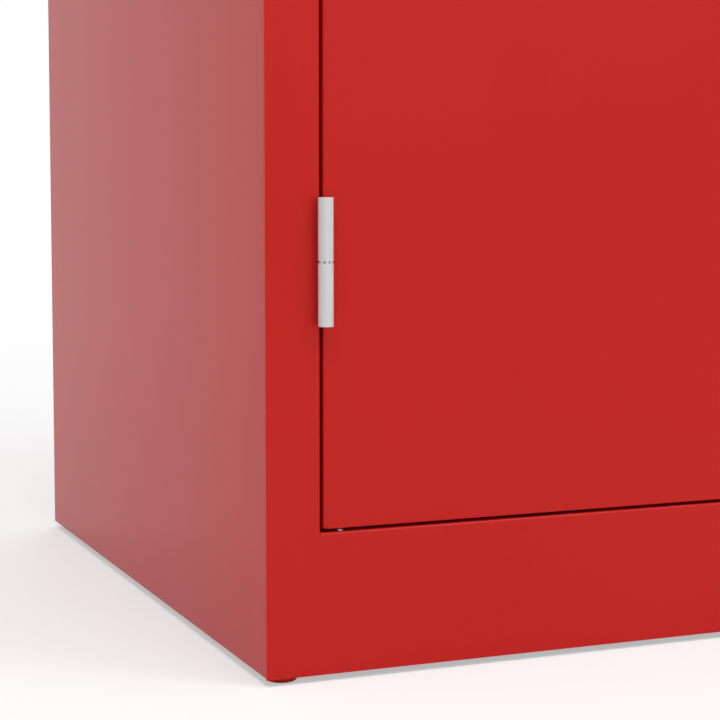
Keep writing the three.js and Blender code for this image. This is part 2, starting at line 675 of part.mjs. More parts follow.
function doorSkin() {
  const [x0, x1] = DOOR.x;
  const [z0, z1] = DOOR.z;
  const plate = slab(
    [x0 + DOOR_BEND, x1 - DOOR_BEND],
    [FRONT_Y, inward(DOOR_SHEET)],
    [z0 + DOOR_BEND, z1 - DOOR_BEND],
  );
  const section = foldSection(DOOR_SHEET, DOOR_BEND, DOOR_THICKNESS, DOOR_LIP);
  const end = DOOR_BEND + CORNER_RELIEF;
  const height = z1 - z0 - 2 * FOLD_SHORT;
  const folds = [
    drawnOut(section, height, [x0, FRONT_Y, z0 + FOLD_SHORT], X, Y),
    drawnOut(section, height, [x1, FRONT_Y, z1 - FOLD_SHORT], flip(X), Y),
    drawnOut(section, x1 - x0 - 2 * end, [x1 - end, FRONT_Y, z0], Z, Y),
    drawnOut(section, x1 - x0 - 2 * end, [x0 + end, FRONT_Y, z1], flip(Z), Y),
  ];
  const through = [FRONT_Y - OVER, inward(DOOR_SHEET + OVER)];
  const slitTop = DOOR_BEND + SLIT_RISE;
  const slits = [];
  for (const x of [[x0 + DOOR_BEND, x0 + end], [x1 - end, x1 - DOOR_BEND]]) {
    slits.push(slab(x, through, [z0 - OVER, z0 + slitTop]));
    slits.push(slab(x, through, [z1 - slitTop, z1 + OVER]));
  }
  const hole = drum(SPINDLE_HOLE, through, Y, [SPINDLE.x, SPINDLE.z]);
  return cutOut(joined(plate, ...folds), ...slits, hole);
}
piece("door_skin", doorSkin(), RED_PAINT);

function doorStiffener() {
  const section = hatSection(DOOR_SHEET, STIFFENER_WIDTH, STIFFENER_HEIGHT, STIFFENER_FLANGE);
  const low = DOOR.z[0] + DOOR_LIP + STIFFENER_END;
  const high = DOOR.z[1] - DOOR_LIP - STIFFENER_END;
  const origin = [middle(DOOR.x) + STIFFENER_OFFSET, inward(DOOR_SHEET + SEAM), low];
  return drawnOut(section, high - low, origin, X, Y);
}
piece("door_stiffener", doorStiffener(), RED_PAINT);

// Lock case: a hat-shaped bracket inside the door that steadies the spindle
const CASE_BACK = inward(DOOR_SHEET + SEAM + CASE_HEIGHT);

function lockCase() {
  const section = hatSection(BRACKET_SHEET, CASE_WIDTH, CASE_HEIGHT, CASE_FLANGE);
  const low = SPINDLE.z - CASE_LENGTH / 2;
  const hat = drawnOut(section, CASE_LENGTH, [SPINDLE.x, inward(DOOR_SHEET + SEAM), low], X, Y);
  const through = [CASE_BACK - BRACKET_SHEET - OVER, CASE_BACK + OVER];
  const hole = drum(SPINDLE_HOLE, through, Y, [SPINDLE.x, SPINDLE.z]);
  return hat.subtract(hole);
}
piece("lock_case", lockCase(), ZINC);

// Rosette: a round plate between the handle and the door
function rosette() {
  const back = inward(-SEAM);
  const face = back - ROSETTE_THICKNESS;
  const radius = ROSETTE_DIAMETER / 2;
  const place = [SPINDLE.x, SPINDLE.z];
  const bevelled = new THREE.CylinderGeometry(radius, radius - ROSETTE_CHAMFER, ROSETTE_CHAMFER, ROUND_SIDES);
  bevelled.translate(SPINDLE.x, face + ROSETTE_CHAMFER / 2, SPINDLE.z);
  const plate = drum(radius, [face + ROSETTE_CHAMFER, back], Y, place).add(solidOf(bevelled));
  return plate.subtract(drum(SPINDLE_HOLE, [face - OVER, back + OVER], Y, place));
}
piece("handle_rosette", rosette(), SATIN_NICKEL);

// Handle: a boss round the lock plug with an arm that clears the door by a finger's width.
// It lies level at rest, with the rods drawn in, and turns down to lock.
function squareHole(limits) {
  const size = SPINDLE_SQUARE + 2 * RUNNING;
  return slab(around(SPINDLE.x, size), limits, around(SPINDLE.z, size));
}

function turnHandle() {
  const place = [SPINDLE.x, SPINDLE.z];
  const boss = drum(HANDLE_BOSS_DIAMETER / 2, [HANDLE_FACE, HANDLE_BACK], Y, place);
  const tip = HANDLE_ARM_TIP / 2;
  const root = HANDLE_ARM_ROOT / 2;
  const outline = new THREE.Shape();
  outline.moveTo(0, -root);
  outline.lineTo(0, root);
  outline.lineTo(tip - HANDLE_ARM, tip);
  outline.absarc(tip - HANDLE_ARM, 0, tip, Math.PI / 2, Math.PI * 1.5, false);
  outline.closePath();
  const origin = [SPINDLE.x, HANDLE_FACE + HANDLE_ARM_THICKNESS, SPINDLE.z];
  const arm = drawnOut(outline, HANDLE_ARM_THICKNESS, origin, X, Z);
  const plugRoom = [HANDLE_FACE - OVER, HANDLE_FACE + PLUG_DEPTH];
  const plugSeat = drum(PLUG_DIAMETER / 2 + RUNNING, plugRoom, Y, place);
  const spindleSeat = squareHole([HANDLE_BACK - SPINDLE_GRIP, HANDLE_BACK + OVER]);
  return boss.add(arm).subtract(plugSeat).subtract(spindleSeat);
}
piece("turn_handle", turnHandle(), SATIN_NICKEL);

function lockPlug() {
  const face = HANDLE_FACE - PLUG_PROUD;
  const plug = drum(PLUG_DIAMETER / 2, [face, HANDLE_FACE + PLUG_DEPTH - SEAM], Y, [SPINDLE.x, SPINDLE.z]);
  const keyway = slab(
    around(SPINDLE.x, KEYWAY_WIDTH),
    [face - OVER, face + KEYWAY_DEPTH],
    around(SPINDLE.z, KEYWAY_HEIGHT),
  );
  return plug.subtract(keyway);
}
piece("lock_plug", lockPlug(), ZINC);

// Spindle, tongue and nut
const TONGUE_BACK = ROD_LAYER[1] + TONGUE_FROM_PINION + TONGUE_SHEET;
const NUT_START = TONGUE_BACK + SEAM;

function spindle() {
  const bar = slab(
    around(SPINDLE.x, SPINDLE_SQUARE),
    [HANDLE_BACK - SPINDLE_GRIP + SEAM, TONGUE_BACK],
    around(SPINDLE.z, SPINDLE_SQUARE),
  );
  const end = NUT_START + SPINDLE_NUT_HEIGHT + SPINDLE_STUD_PROUD;
  return bar.add(drum(SPINDLE_STUD_DIAMETER / 2, [TONGUE_BACK - OVER, end], Y, [SPINDLE.x, SPINDLE.z]));
}
piece("lock_spindle", spindle(), ZINC);

function spindleNut() {
  const limits = [NUT_START, NUT_START + SPINDLE_NUT_HEIGHT];
  const place = [SPINDLE.x, SPINDLE.z];
  const bore = drum(SPINDLE_STUD_DIAMETER / 2 + RUNNING, [limits[0] - OVER, limits[1] + OVER], Y, place);
  return hexagon(SPINDLE_NUT_ACROSS_FLATS, limits, Y, place).subtract(bore);
}
piece("spindle_nut", spindleNut(), ZINC);

// A cranked plate: hangs down at rest and swings behind the door stop to lock
function latchTongue() {
  const reach = RIGHT - STILE + TONGUE_BITE - SPINDLE.x;
  const across = around(SPINDLE.x, TONGUE_WIDTH);
  const hub = [TONGUE_BACK - TONGUE_SHEET, TONGUE_BACK];
  const tipFront = STRIKE_LAYER[1] + TONGUE_CLEAR;
  const step = SPINDLE.z - TONGUE_CRANK;
  return joined(
    slab(across, hub, [step, SPINDLE.z + TONGUE_WIDTH / 2]),
    slab(across, [tipFront, TONGUE_BACK], [step - TONGUE_SHEET, step]),
    slab(across, [tipFront, tipFront + TONGUE_SHEET], [SPINDLE.z - reach, step]),
  ).subtract(squareHole([hub[0] - OVER, hub[1] + OVER]));
}
piece("latch_tongue", latchTongue(), ZINC);

// Rod drive: a pinion on the spindle between two racks, so a quarter turn throws both rods
const TOOTH_PITCH = Math.PI * GEAR_MODULE;
const BASE_RADIUS = PITCH_RADIUS * Math.cos(PRESSURE_ANGLE);
const involute = (radius) => {
  const roll = Math.sqrt(Math.max(0, (radius / BASE_RADIUS) ** 2 - 1));
  return roll - Math.atan(roll);
};

function pinion() {
  const tip = PITCH_RADIUS + GEAR_ADDENDUM;
  const root = PITCH_RADIUS - GEAR_DEDENDUM;
  const halfTooth = (TOOTH_PITCH - GEAR_BACKLASH) / 4 / PITCH_RADIUS + involute(PITCH_RADIUS);
  const radii = Array.from(
    { length: FLANK_STEPS + 1 },
    (_, step) => BASE_RADIUS + ((tip - BASE_RADIUS) * step) / FLANK_STEPS,
  );
  const rise = [[root, halfTooth], ...radii.map((radius) => [radius, halfTooth - involute(radius)])];
  const outline = Array.from({ length: PINION_TEETH }, (_, tooth) => {
    const centre = (tooth / PINION_TEETH) * 2 * Math.PI;
    const flank = (sign) => rise.map(([radius, angle]) => [radius, centre + sign * angle]);
    return [...flank(-1), ...flank(1).reverse()];
  }).flat();
  const point = ([radius, angle]) => [radius * Math.cos(angle), radius * Math.sin(angle)];
  const shape = polygon(outline.map(point));
  const gear = drawnOut(shape, ROD_THICKNESS, [SPINDLE.x, ROD_LAYER[1], SPINDLE.z], X, Z);
  return gear.subtract(squareHole([ROD_LAYER[0] - OVER, ROD_LAYER[1] + OVER]));
}
piece("drive_pinion", pinion(), ZINC);

// A flat rod with rack teeth beside the pinion. direction is +1 for the rod that rises, which
// lies right of the pinion, and -1 for the one that drops.
function rackRod(direction, tip) {
  const line = direction * PITCH_RADIUS;
  const lean = Math.tan(PRESSURE_ANGLE);
  const half = (TOOTH_PITCH - GEAR_BACKLASH) / 4;
  const root = line + direction * GEAR_DEDENDUM;
  const back = root + direction * ROD_WIDTH;
  const crest = line - direction * GEAR_ADDENDUM;
  const tail = -direction * (RACK_TEETH_BEHIND + 0.5) * TOOTH_PITCH;
  const teeth = [];
  for (let tooth = -RACK_TEETH_BEHIND; tooth < RACK_TEETH_AHEAD; tooth++) {
    const centre = direction * (tooth + 0.5) * TOOTH_PITCH;
    const foot = direction * (half + GEAR_DEDENDUM * lean);
    const top = direction * (half - GEAR_ADDENDUM * lean);
    teeth.push([root, centre - foot], [crest, centre - top], [crest, centre + top], [root, centre + foot]);
  }
  const end = tip - SPINDLE.z;
  const outline = polygon([[back, tail], [root, tail], ...teeth, [root, end], [back, end]]);
  return drawnOut(outline, ROD_THICKNESS, [SPINDLE.x, ROD_LAYER[1], SPINDLE.z], X, Z);
}
piece("upper_rod", rackRod(1, OPENING.z[1] - ROD_SHORT), ZINC);
piece("lower_rod", rackRod(-1, OPENING.z[0] + ROD_SHORT), ZINC);

// Rod guides: loops on the door's lips
function rodGuide(x, [z0, z1]) {
  const front = inward(DOOR_THICKNESS + SEAM);
  const loop = slab(around(x, GUIDE_WIDTH), [front, ROD_LAYER[1] + RUNNING + GUIDE_WALL], [z0, z1]);
  const hole = slab(
    around(x, ROD_WIDTH + 2 * RUNNING),
    [ROD_LAYER[0] - RUNNING, ROD_LAYER[1] + RUNNING],
    [z0 - OVER, z1 + OVER],
  );
  return loop.subtract(hole);
}
const [DOOR_LOW, DOOR_HIGH] = [DOOR.z[0] + GUIDE_INSET, DOOR.z[1] - GUIDE_INSET];
piece("rod_guide_upper", rodGuide(SPINDLE.x + ROD_OFFSET, [DOOR_HIGH - GUIDE_LENGTH, DOOR_HIGH]), ZINC);
piece("rod_guide_lower", rodGuide(SPINDLE.x - ROD_OFFSET, [DOOR_LOW, DOOR_LOW + GUIDE_LENGTH]), ZINC);

export default locker;
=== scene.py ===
# %% [markdown]
# # A painted steel side locker
# The locker is a welded sheet-steel box with one flush door, two barrel hinges, a turning handle that
# throws two rods, two hung shelves and four levelling feet. Its pieces were drawn at their real size
# elsewhere and come in as a fixed frame, in metres. This lesson gives them their finishes, softens
# their edges, and rebuilds the few pieces whose real surface is richer than the plain solid.

# %% Load the frame
import json
import math

import bmesh
import bpy
from mathutils import Matrix, Vector


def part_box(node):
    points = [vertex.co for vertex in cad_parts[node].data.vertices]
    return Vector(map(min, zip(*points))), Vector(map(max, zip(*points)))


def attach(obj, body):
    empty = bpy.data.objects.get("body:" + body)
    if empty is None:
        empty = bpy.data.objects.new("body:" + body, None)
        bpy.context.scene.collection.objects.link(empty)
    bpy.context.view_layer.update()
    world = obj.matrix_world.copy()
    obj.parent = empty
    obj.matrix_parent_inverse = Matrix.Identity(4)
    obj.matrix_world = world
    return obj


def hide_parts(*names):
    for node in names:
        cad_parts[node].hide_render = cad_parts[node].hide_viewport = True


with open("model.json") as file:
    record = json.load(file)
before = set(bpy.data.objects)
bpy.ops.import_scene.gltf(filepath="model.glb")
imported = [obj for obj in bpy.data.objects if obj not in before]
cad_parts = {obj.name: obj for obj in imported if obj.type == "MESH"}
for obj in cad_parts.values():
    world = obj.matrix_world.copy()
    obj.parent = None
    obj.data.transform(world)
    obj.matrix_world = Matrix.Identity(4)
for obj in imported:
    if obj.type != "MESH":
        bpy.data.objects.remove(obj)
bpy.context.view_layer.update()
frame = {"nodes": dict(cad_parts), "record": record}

MM = 0.001
nodes = frame["nodes"]
body_of = {node: body for body, group in frame["record"]["behaviour"]["bodies"].items() for node in group}
slot_of = {row["node"]: row["material_slot"] for row in frame["record"]["subparts"]}

# %% [markdown]
# ## The camera
# The picture is a close view of the lower front left corner. The camera could be aimed at a target
# object, but a corner that can be measured is a better anchor: the eye is set from the lowest front
# left corner of the front frame. The lens is long, so the upright edges stay almost parallel, and a
# little downward shift keeps them so without tilting the camera much.

# %% Camera
EYE_FROM_CORNER = Vector((-368.1, -1050.2, 305.9)) * MM
HEADING = math.radians(22.287)
TILT_DOWN = math.radians(4.572)
LENS = 91.547
SHIFT_DOWN = 0.04

frame_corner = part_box("front_frame")[0]
camera = bpy.data.objects.new("camera", bpy.data.cameras.new("camera"))
bpy.context.scene.collection.objects.link(camera)
camera.location = frame_corner + EYE_FROM_CORNER
camera.rotation_euler = (math.pi / 2 - TILT_DOWN, 0, -HEADING)
camera.data.lens = LENS
camera.data.shift_y = -SHIFT_DOWN
bpy.context.scene.camera = camera
bpy.context.scene.view_settings.view_transform = "Standard"
print("eye at", [round(value, 3) for value in camera.location])

# %% [markdown]
# ## Floor and surroundings
# The studio is white all round. A white surround bright enough to look white would also flood the
# locker with light, so the two jobs are parted by the kind of ray: what the eye sees, directly or in a
# reflection, is plain white, and what lights the paint is softer. Round the locker the floor is plain
# pale matt and keeps the locker's shadow. Farther out it fades to the same white as the surround, so no
# horizon shows.

# %% Rays that see the white surround
def seen_directly_or_mirrored(tree):
    """One for a ray that the eye sees, also in a reflection or through glass, and nought for the rest."""
    rays = tree.nodes.new("ShaderNodeLightPath")
    total = rays.outputs["Is Camera Ray"]
    for kind in ("Is Glossy Ray", "Is Transmission Ray"):
        adding = tree.nodes.new("ShaderNodeMath")
        adding.operation = "ADD"
        adding.use_clamp = True
        tree.links.new(total, adding.inputs[0])
        tree.links.new(rays.outputs[kind], adding.inputs[1])
        total = adding.outputs[0]
    return total


def white_where_seen(tree, soft, emitter, share):
    """A shader that is white, by share, to a ray that the eye sees, and soft to the rest."""
    white = tree.nodes.new(emitter)
    white.inputs["Color"].default_value = (1, 1, 1, 1)
    mix = tree.nodes.new("ShaderNodeMixShader")
    tree.links.new(share, mix.inputs[0])
    tree.links.new(soft.outputs[0], mix.inputs[1])
    tree.links.new(white.outputs[0], mix.inputs[2])
    return mix


# %% World
WORLD_LEVEL = 0.42

world = bpy.data.worlds.new("white_studio")
bpy.context.scene.world = world
world.use_nodes = True
sky = world.node_tree.nodes["Background"]
sky.inputs["Color"].default_value = (1, 1, 1, 1)
sky.inputs["Strength"].default_value = WORLD_LEVEL
seen = seen_directly_or_mirrored(world.node_tree)
surround = white_where_seen(world.node_tree, sky, "ShaderNodeBackground", seen)
world.node_tree.links.new(surround.outputs[0], world.node_tree.nodes["World Output"].inputs["Surface"])
print("world lights at", WORLD_LEVEL)

# %% Floor
FLOOR_REACH = 14.0
FLOOR_GREY = 0.86
FADE_START = 0.5
FADE_END = 2.6
WHITE_NEAR = 0.45


def spread_over(tree, value, start, end, low, high):
    """A node that goes from low to high while value goes from start to end."""
    spread = tree.nodes.new("ShaderNodeMapRange")
    sockets = ("From Min", "From Max", "To Min", "To Max")
    for socket, number in zip(sockets, (start, end, low, high)):
        spread.inputs[socket].default_value = number
    tree.links.new(value, spread.inputs["Value"])
    return spread


def fading_share(tree):
    """How white the floor looks to the eye: WHITE_NEAR beside the locker, and wholly from FADE_END on."""
    place = tree.nodes.new("ShaderNodeTexCoord")
    distance = tree.nodes.new("ShaderNodeVectorMath")
    distance.operation = "LENGTH"
    tree.links.new(place.outputs["Object"], distance.inputs[0])
    fade = spread_over(tree, distance.outputs["Value"], FADE_START, FADE_END, WHITE_NEAR, 1)
    fade.interpolation_type = "SMOOTHSTEP"
    share = tree.nodes.new("ShaderNodeMath")
    share.operation = "MULTIPLY"
    tree.links.new(seen_directly_or_mirrored(tree), share.inputs[0])
    tree.links.new(fade.outputs["Result"], share.inputs[1])
    return share.outputs[0]


floor_mesh = bpy.data.meshes.new("studio_floor")
floor_signs = ((-1, -1), (1, -1), (1, 1), (-1, 1))
floor_corners = [(x * FLOOR_REACH, y * FLOOR_REACH, 0) for x, y in floor_signs]
floor_mesh.from_pydata(floor_corners, [], [(0, 1, 2, 3)])
studio_floor = bpy.data.objects.new("studio_floor", floor_mesh)
bpy.context.scene.collection.objects.link(studio_floor)
floor_finish = bpy.data.materials.new("pale_floor")
floor_finish.use_nodes = True
floor_tree = floor_finish.node_tree
floor_tree.nodes.remove(floor_tree.nodes["Principled BSDF"])
matt = floor_tree.nodes.new("ShaderNodeBsdfDiffuse")
matt.inputs["Color"].default_value = (FLOOR_GREY, FLOOR_GREY, FLOOR_GREY, 1)
floor_shader = white_where_seen(floor_tree, matt, "ShaderNodeEmission", fading_share(floor_tree))
floor_tree.links.new(floor_shader.outputs[0], floor_tree.nodes["Material Output"].inputs["Surface"])
floor_mesh.materials.append(floor_finish)
print("floor reaches", FLOOR_REACH, "m each way")

# %% [markdown]
# ## Lamps
# The main lamp hangs above, in front of the locker and to its left. It lets the light fall off slowly down
# the front, and still reaches the plain side. A weaker one in front, to the right, gives the front its
# faint sheen. A fold mirrors only a narrow part of the studio, so a smaller lamp hangs where the fold over
# the plinth looks: it draws a thread of light there, and gives each hinge its soft shadow. One behind keeps
# the back from going flat. Area lamps are used instead of spots, which would draw hard shadows.

# %% Lamps
def soft_lamp(name, place, aim, size, watts):
    lamp = bpy.data.lights.new(name, "AREA")
    lamp.shape = "DISK"
    lamp.size = size
    lamp.energy = watts
    holder = bpy.data.objects.new(name, lamp)
    bpy.context.scene.collection.objects.link(holder)
    holder.location = place
    beam = Vector(aim) - Vector(place)
    holder.rotation_euler = beam.to_track_quat("-Z", "Y").to_euler()
    print(name, watts, "W,", round(beam.length, 2), "m away")


soft_lamp("over_lamp", place=(-0.55, -0.9, 2.95), aim=(-0.1, -0.35, 0), size=2.2, watts=58)
soft_lamp("front_lamp", place=(0.8, -2.5, 1.4), aim=(0, -0.27, 0.45), size=2.1, watts=7)
soft_lamp("fold_lamp", place=(1.33, -1.65, 2.65), aim=(-0.09, -0.29, 0.1), size=1.1, watts=20)
soft_lamp("back_lamp", place=(0.8, 2.0, 3.0), aim=(0, 0.3, 0.5), size=2.0, watts=34)

# %% [markdown]
# ## Tools for finishes
# Every finish is one Principled shader fed by procedural textures, so no picture files are needed and
# the grain has a true size: the texture space is the object's own, in metres. A noise scale of 1000
# therefore has grains about a millimetre across. What is the same all over is set on the shader.

# %% New finishes
finishes = {}


def new_finish(name, roughness, metallic, specular=0.5):
    finish = bpy.data.materials.new(name)
    finish.use_nodes = True
    shader = finish.node_tree.nodes["Principled BSDF"]
    shader.inputs["Roughness"].default_value = roughness
    shader.inputs["Metallic"].default_value = metallic
    shader.inputs["Specular IOR Level"].default_value = specular
    return finish


def keep_finish(slot, finish):
    """Keeps a finish under the material slot that it is for."""
    finishes[slot] = finish
    print(slot, "is", finish.name, "with", len(finish.node_tree.nodes), "shader nodes")


# %% Grain, colour and relief
NOISE_SPAN = (0.3, 0.7)


def grain(tree, scale, detail=2.0, stretch=(1, 1, 1)):
    """Soft noise in the object's own space, drawn out along an axis where stretch is under one."""
    place = tree.nodes.new("ShaderNodeTexCoord")
    mapping = tree.nodes.new("ShaderNodeMapping")
    mapping.inputs["Scale"].default_value = stretch
    noise = tree.nodes.new("ShaderNodeTexNoise")
    noise.inputs["Scale"].default_value = scale
    noise.inputs["Detail"].default_value = detail
    tree.links.new(place.outputs["Object"], mapping.inputs["Vector"])
    tree.links.new(mapping.outputs["Vector"], noise.inputs["Vector"])
    return noise.outputs[0]


def shade_between(tree, value, low, high, span=NOISE_SPAN):
    """Colours the shader's base from low to high as value goes over span."""
    ramp = tree.nodes.new("ShaderNodeValToRGB")
    for stop, position, colour in zip(ramp.color_ramp.elements, span, (low, high)):
        stop.position = position
        stop.color = (*colour, 1)
    tree.links.new(value, ramp.inputs["Fac"])
    tree.links.new(ramp.outputs["Color"], tree.nodes["Principled BSDF"].inputs["Base Color"])


def vary_roughness(tree, value, low, high):
    spread = spread_over(tree, value, *NOISE_SPAN, low, high)
    tree.links.new(spread.outputs["Result"], tree.nodes["Principled BSDF"].inputs["Roughness"])


def relief(tree, value, depth):
    """A fine bump, depth metres from its lowest to its highest point."""
    bump = tree.nodes.new("ShaderNodeBump")
    bump.inputs["Distance"].default_value = depth
    tree.links.new(value, bump.inputs["Height"])
    tree.links.new(bump.outputs["Normal"], tree.nodes["Principled BSDF"].inputs["Normal"])


# %% [markdown]
# ## Red powder coat
# The sheets are powder coated: a thick satin film that has flowed out in the oven. Close up it has a
# faint skin like orange peel, from half a millimetre to two across, and its colour is all but even.
# The film is dull head on and shines only at a slant, so its specular level is low. The skin is bump,
# because it is far too shallow to change an outline.

# %% Red powder coat
def red_powder_coat():
    finish = new_finish("red_powder_coat", roughness=0.25, metallic=0, specular=0.13)
    tree = finish.node_tree
    shade_between(tree, grain(tree, scale=7), low=(0.508, 0.0136, 0.0106), high=(0.522, 0.0149, 0.0114))
    vary_roughness(tree, grain(tree, scale=160), low=0.24, high=0.26)
    relief(tree, grain(tree, scale=950, detail=1.5), depth=0.006 * MM)
    return finish


keep_finish("red_paint", red_powder_coat())

# %% [markdown]
# ## Pale hinge coating
# The hinges have a matt pale grey coat over drawn steel, with the faint lengthwise streaks of the tube
# that the barrels are cut from. Noise that is stretched along the barrel gives the streaks.

# %% Pale hinge coating
def pale_hinge_grey():
    finish = new_finish("pale_hinge_grey", roughness=0.5, metallic=0, specular=0.3)
    tree = finish.node_tree
    streaks = grain(tree, scale=1500, stretch=(1, 1, 0.03))
    shade_between(tree, streaks, low=(0.61, 0.61, 0.615), high=(0.65, 0.65, 0.655))
    vary_roughness(tree, streaks, low=0.46, high=0.54)
    relief(tree, grain(tree, scale=2600, detail=1), depth=0.003 * MM)
    return finish


keep_finish("pale_grey", pale_hinge_grey())

# %% [markdown]
# ## Zinc plate
# Rods, clips, nuts and the lock's inner pieces are zinc plated: a cool bright metal with cloudy
# patches from the bath and the fine lines of the drawn bar under it.

# %% Zinc plate
def zinc_plate():
    finish = new_finish("zinc_plate", roughness=0.36, metallic=1)
    tree = finish.node_tree
    shade_between(tree, grain(tree, scale=60, detail=4), low=(0.5, 0.51, 0.53), high=(0.58, 0.59, 0.61))
    vary_roughness(tree, grain(tree, scale=900, detail=3, stretch=(1, 1, 0.05)), low=0.28, high=0.46)
    relief(tree, grain(tree, scale=1800, stretch=(1, 1, 0.04)), depth=0.003 * MM)
    return finish


keep_finish("zinc", zinc_plate())

# %% [markdown]
# ## Galvanised shelf sheet
# Dipped sheet freezes into flat crystals, the spangle, each with its own grey and its own gloss. Voronoi
# cells are a good likeness: one random value for each cell sets both.

# %% Galvanised shelf sheet
CRYSTAL_SCALE = 95
CRYSTAL_SPAN = (0.2, 0.8)


def galvanised_sheet():
    finish = new_finish("galvanised_sheet", roughness=0.45, metallic=0.9)
    tree = finish.node_tree
    place = tree.nodes.new("ShaderNodeTexCoord")
    crystals = tree.nodes.new("ShaderNodeTexVoronoi")
    crystals.inputs["Scale"].default_value = CRYSTAL_SCALE
    tree.links.new(place.outputs["Object"], crystals.inputs["Vector"])
    one_value = tree.nodes.new("ShaderNodeRGBToBW")
    tree.links.new(crystals.outputs["Color"], one_value.inputs["Color"])
    spangle = one_value.outputs["Val"]
    shade_between(tree, spangle, low=(0.43, 0.445, 0.455), high=(0.49, 0.505, 0.515), span=CRYSTAL_SPAN)
    vary_roughness(tree, spangle, low=0.42, high=0.5)
    relief(tree, grain(tree, scale=700, detail=3), depth=0.005 * MM)
    return finish


keep_finish("galvanised", galvanised_sheet())

# %% [markdown]
# ## Satin nickel
# The handle and its rosette are die cast, blasted and nickel plated. The blast leaves a fine even
# grain, and the plate is a little warm beside the zinc.

# %% Satin nickel
def satin_nickel():
    finish = new_finish("satin_nickel", roughness=0.3, metallic=1)
    tree = finish.node_tree
    shade_between(tree, grain(tree, scale=45, detail=3), low=(0.555, 0.54, 0.505), high=(0.61, 0.595, 0.56))
    vary_roughness(tree, grain(tree, scale=1200), low=0.27, high=0.35)
    relief(tree, grain(tree, scale=3200, detail=1), depth=0.004 * MM)
    return finish


keep_finish("satin_nickel", satin_nickel())

# %% [markdown]
# ## Black rubber
# The door's two buffers are moulded rubber, matt and slightly chalky.

# %% Black rubber
def black_rubber():
    finish = new_finish("black_rubber", roughness=0.75, metallic=0, specular=0.35)
    tree = finish.node_tree
    chalk = grain(tree, scale=180, detail=3)
    shade_between(tree, chalk, low=(0.009, 0.009, 0.009), high=(0.02, 0.02, 0.021))
    vary_roughness(tree, grain(tree, scale=500), low=0.68, high=0.82)
    relief(tree, grain(tree, scale=1500), depth=0.01 * MM)
    return finish


keep_finish("black_rubber", black_rubber())

# %% [markdown]
# ## Dressing the solids
# Most solids already have the right shape. They come in as triangles with hard edges, and no real
# edge is perfectly sharp: paint rounds it, and it catches a thread of light. The triangles could be
# remodelled by hand, but a stack of modifiers does it for all of them: weld the corners, melt the flat
# triangles into whole faces, round the edges that are left, and let the large faces rule the shading.

# %% Dressing tools
SMOOTH_UNDER = math.radians(30)
FLAT_UNDER = math.radians(0.5)
SAME_POINT = 0.005 * MM
EDGE_SEGMENTS = 2


def clear_imported_shading(mesh):
    stored = mesh.attributes.get("custom_normal")
    if stored:
        mesh.attributes.remove(stored)
    mesh.shade_smooth()


def join_corners(piece):
    weld = piece.modifiers.new("join_corners", "WELD")
    weld.merge_threshold = SAME_POINT


def soften(piece, edge):
    """Rounds the edges of a piece by edge millimetres."""
    join_corners(piece)
    melt = piece.modifiers.new("whole_faces", "DECIMATE")
    melt.decimate_type = "DISSOLVE"
    melt.angle_limit = FLAT_UNDER
    rounding = piece.modifiers.new("soft_edges", "BEVEL")
    rounding.width = edge * MM
    rounding.segments = EDGE_SEGMENTS
    rounding.limit_method = "ANGLE"
    rounding.angle_limit = SMOOTH_UNDER
    rounding.use_clamp_overlap = True
    shading = piece.modifiers.new("even_faces", "WEIGHTED_NORMAL")
    shading.keep_sharp = True


def dress(name, edge):
    """Gives a solid its finish and soft edges."""
    node = nodes[name]
    clear_imported_shading(node.data)
    node.data.materials.clear()
    node.data.materials.append(finishes[slot_of[name]])
    soften(node, edge)


# %% Edge sizes
# Millimetres, by how a solid's name starts. The first start that fits counts.
SHEET_EDGE = 0.2
EDGES = {
    "hinge_": 0.06,
    "shelf_clip": 0.3,
    "shelf_upright": 0.3,
    "shelf_": 0.6,
    "foot_nut": 0.4,
    "lock_plug": 0.4,
    "handle_rosette": 0.4,
    "lock_case": 0.4,
    "rod_guide": 0.5,
    "upper_rod": 0.2,
    "lower_rod": 0.2,
    "drive_pinion": 0.15,
    "latch_tongue": 0.4,
    "spindle_nut": 0.4,
    "lock_spindle": 0.3,
    "door_buffer": 0.6,
}


def edge_of(name):
    for start, size in EDGES.items():
        if name.startswith(start):
            return size
    return SHEET_EDGE


for name in sorted(nodes):
    dress(name, edge_of(name))
print("dressed", len(nodes), "solids")

# %% [markdown]
# ## A lathe for small round pieces
# Washers, rivets and feet are round. The Screw modifier could turn their profiles, but here the radius
# must also change with the angle, for notches and for a thread. So the rings are worked out point by
# point: each has a radius and a height, and the radius may be a function of the angle.

# %% Lathe
def turned_mesh(name, rings, sides, place, closed=False):
    """Rings round the local Z axis of place, with a cap at each end, or joined end to end where closed."""
    points = []
    for radius, height in rings:
        for side in range(sides):
            angle = 2 * math.pi * side / sides
            reach = radius(angle) if callable(radius) else radius
            points.append(place @ Vector((reach * math.cos(angle), reach * math.sin(angle), height)))
    loops = [range(start * sides, (start + 1) * sides) for start in range(len(rings))]
    following = loops[1:] + loops[:1] if closed else loops[1:]
    faces = []
    for low, high in zip(loops, following):
        for side in range(sides):
            after = (side + 1) % sides
            faces.append((low[side], low[after], high[after], high[side]))
    if not closed:
        faces.append(tuple(reversed(loops[0])))
        faces.append(tuple(loops[-1]))
    mesh = bpy.data.meshes.new(name)
    mesh.from_pydata(points, [], faces)
    mesh.shade_smooth()
    mesh.set_sharp_from_angle(angle=SMOOTH_UNDER)
    return mesh


# %% New pieces
def add_piece(name, mesh, body, slot, *stands_for):
    """Puts a new piece on its body in the finish of its slot, and hides the solids that it stands for."""
    mesh.materials.append(finishes[slot])
    piece = bpy.data.objects.new(name, mesh)
    bpy.context.scene.collection.objects.link(piece)
    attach(piece, body)
    if stands_for:
        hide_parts(*stands_for)
    print(name, "has", len(mesh.polygons), "faces and rides on", body)
    return piece


